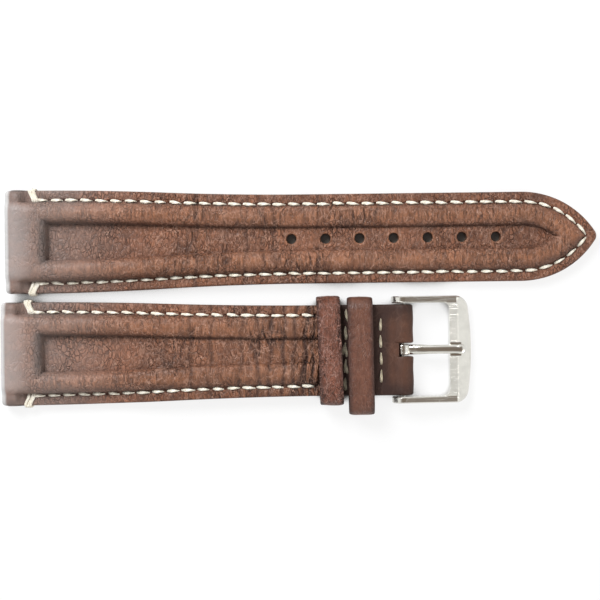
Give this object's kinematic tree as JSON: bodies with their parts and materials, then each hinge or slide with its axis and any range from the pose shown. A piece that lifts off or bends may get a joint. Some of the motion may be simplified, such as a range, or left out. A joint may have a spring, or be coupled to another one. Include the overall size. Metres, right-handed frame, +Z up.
{
  "type": "leather watch strap",
  "caption": "Padded brown leather watch strap in two halves with contrast stitching, sewn and sliding keepers, and a steel pin buckle on a spring bar.",
  "frame": {"origin": "centre of the outline of both halves, on the surface they lie on", "axes": "+X from the lug ends to the tip and the buckle, +Y from the buckle half to the tip half, +Z up out of the strap's face"},
  "size_m": [0.1156, 0.0446, 0.007],
  "materials": {
    "upper_leather": "oiled brown grain, satin",
    "lining_leather": "smooth tan lining, matt",
    "keeper_leather": "smooth dark brown, satin",
    "filler": "pressed felt",
    "thread": "waxed cream thread",
    "polished_steel": "polished",
    "spring_steel": "drawn"
  },
  "bodies": {
    "buckle_half": {"buckle_upper": "upper_leather", "buckle_padding": "filler", "buckle_lining": "lining_leather", "buckle_stitching": "thread", "buckle_corner_threads": "thread", "front_cross_stitches": "thread", "rear_cross_stitches": "thread", "fixed_keeper": "keeper_leather", "spring_bar_tube": "spring_steel", "spring_bar_spring": "spring_steel"},
    "tip_half": {"tip_upper": "upper_leather", "tip_padding": "filler", "tip_lining": "lining_leather", "tip_stitching": "thread", "tip_corner_threads": "thread"},
    "loose_keeper": {"loose_keeper": "keeper_leather"},
    "buckle_frame": {"buckle_frame": "polished_steel"},
    "buckle_tang": {"buckle_tang": "polished_steel"},
    "plunger_far": {"spring_bar_plunger_far": "spring_steel"},
    "plunger_near": {"spring_bar_plunger_near": "spring_steel"}
  },
  "joints": [
    {"name": "tip_half_lift", "type": "slide", "parent": "buckle_half", "child": "tip_half", "axis": [0, 0, 1], "range_m": [0, 0.03]},
    {"name": "loose_keeper_slide", "type": "slide", "parent": "buckle_half", "child": "loose_keeper", "axis": [1, 0, 0], "range_m": [-0.016, 0.0008]},
    {"name": "frame_swing", "type": "hinge", "parent": "buckle_half", "child": "buckle_frame", "pos_m": [0.01998, -0.0098, 0.00295], "axis": [0, -1, 0], "range_deg": [-90, 40]},
    {"name": "tang_lift", "type": "hinge", "parent": "buckle_frame", "child": "buckle_tang", "pos_m": [0.01998, -0.0098, 0.00295], "axis": [0, -1, 0], "range_deg": [0, 45]},
    {"name": "plunger_far_press", "type": "slide", "parent": "buckle_half", "child": "plunger_far", "axis": [0, -1, 0], "range_m": [0, 0.0012], "stiffness_N_per_m": 1500, "springref_m": -0.0006, "deforming": ["spring_bar_spring"]},
    {"name": "plunger_near_press", "type": "slide", "parent": "buckle_half", "child": "plunger_near", "axis": [0, 1, 0], "range_m": [0, 0.0012], "stiffness_N_per_m": 1500, "springref_m": -0.0006, "deforming": ["spring_bar_spring"]}
  ]
}
